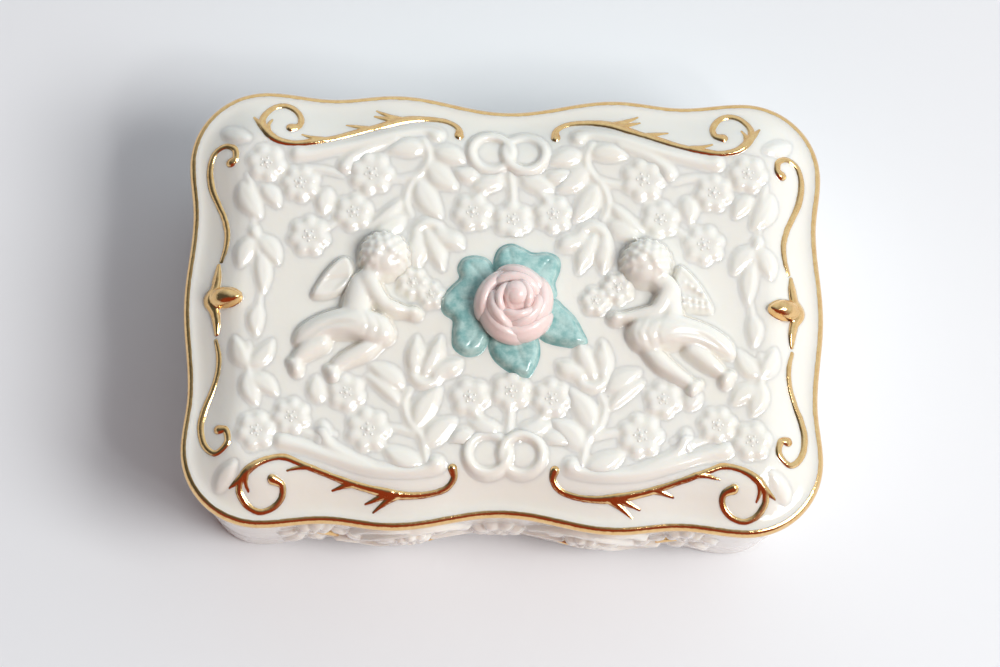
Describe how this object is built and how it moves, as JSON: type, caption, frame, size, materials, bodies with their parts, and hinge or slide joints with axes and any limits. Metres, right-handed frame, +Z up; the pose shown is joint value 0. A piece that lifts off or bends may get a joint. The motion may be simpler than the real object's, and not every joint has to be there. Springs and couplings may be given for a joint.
{
  "type": "lidded trinket box",
  "caption": "Footed porcelain trinket box with a scalloped lift-off lid, decorated with a hand-built rose, cherubs, flower relief and gilt scrolls, for keeping jewellery and small things.",
  "frame": {"origin": "centre of the footprint, on the table under the feet", "axes": "+X along the longer side to the right, +Y to the back, +Z up towards the lid"},
  "size_m": [0.1278, 0.0898, 0.0554],
  "materials": {
    "box_porcelain": "clear glossy glaze over ivory-white porcelain",
    "lid_porcelain": "clear glossy glaze over ivory-white porcelain",
    "relief_porcelain": "clear glossy glaze, softening the relief's edges",
    "cherub_porcelain": "clear glossy glaze",
    "gilding": "bright gold fired on over the glaze",
    "rose_glaze": "pale pink under a glossy glaze",
    "leaf_glaze": "mottled blue-green under a glossy glaze"
  },
  "bodies": {
    "base": {"box_body": "box_porcelain", "wall_relief_front": "relief_porcelain", "wall_relief_back": "relief_porcelain", "wall_relief_left": "relief_porcelain", "wall_relief_right": "relief_porcelain", "wall_gilding_front": "gilding", "wall_gilding_back": "gilding", "wall_gilding_left": "gilding", "wall_gilding_right": "gilding"},
    "lid": {"lid_shell": "lid_porcelain", "rim_gilding": "gilding", "gilt_scroll_back_right": "gilding", "gilt_scroll_back_left": "gilding", "gilt_scroll_front_left": "gilding", "gilt_scroll_front_right": "gilding", "side_scroll_back_right": "gilding", "side_scroll_back_left": "gilding", "side_scroll_front_left": "gilding", "side_scroll_front_right": "gilding", "gilt_bud_right": "gilding", "gilt_bud_left": "gilding", "white_scroll_back_right": "relief_porcelain", "white_scroll_back_left": "relief_porcelain", "white_scroll_front_left": "relief_porcelain", "white_scroll_front_right": "relief_porcelain", "flower_spray_back_right": "relief_porcelain", "flower_spray_back_left": "relief_porcelain", "flower_spray_front_left": "relief_porcelain", "flower_spray_front_right": "relief_porcelain", "lily_back_right": "relief_porcelain", "lily_back_left": "relief_porcelain", "lily_front_left": "relief_porcelain", "lily_front_right": "relief_porcelain", "wedding_rings_back": "relief_porcelain", "wedding_rings_front": "relief_porcelain", "ring_posy_back": "relief_porcelain", "ring_posy_front": "relief_porcelain", "side_vine_right": "relief_porcelain", "side_vine_left": "relief_porcelain", "cherub_right": "cherub_porcelain", "cherub_left": "cherub_porcelain", "cherub_wing_right": "cherub_porcelain", "cherub_wing_left": "cherub_porcelain", "cherub_posy_right": "cherub_porcelain", "cherub_posy_left": "cherub_porcelain", "rose_leaf_back": "leaf_glaze", "rose_leaf_left": "leaf_glaze", "rose_leaf_front": "leaf_glaze", "rose_leaf_right": "leaf_glaze", "rose_heart": "rose_glaze", "rose_inner_petal_1": "rose_glaze", "rose_inner_petal_2": "rose_glaze", "rose_inner_petal_3": "rose_glaze", "rose_outer_petal_1": "rose_glaze", "rose_outer_petal_2": "rose_glaze", "rose_outer_petal_3": "rose_glaze", "rose_outer_petal_4": "rose_glaze", "rose_outer_petal_5": "rose_glaze"}
  },
  "joints": [
    {"name": "lid_lift", "type": "slide", "parent": "base", "child": "lid", "axis": [0, 0, 1], "range_m": [0, 0.08]}
  ]
}
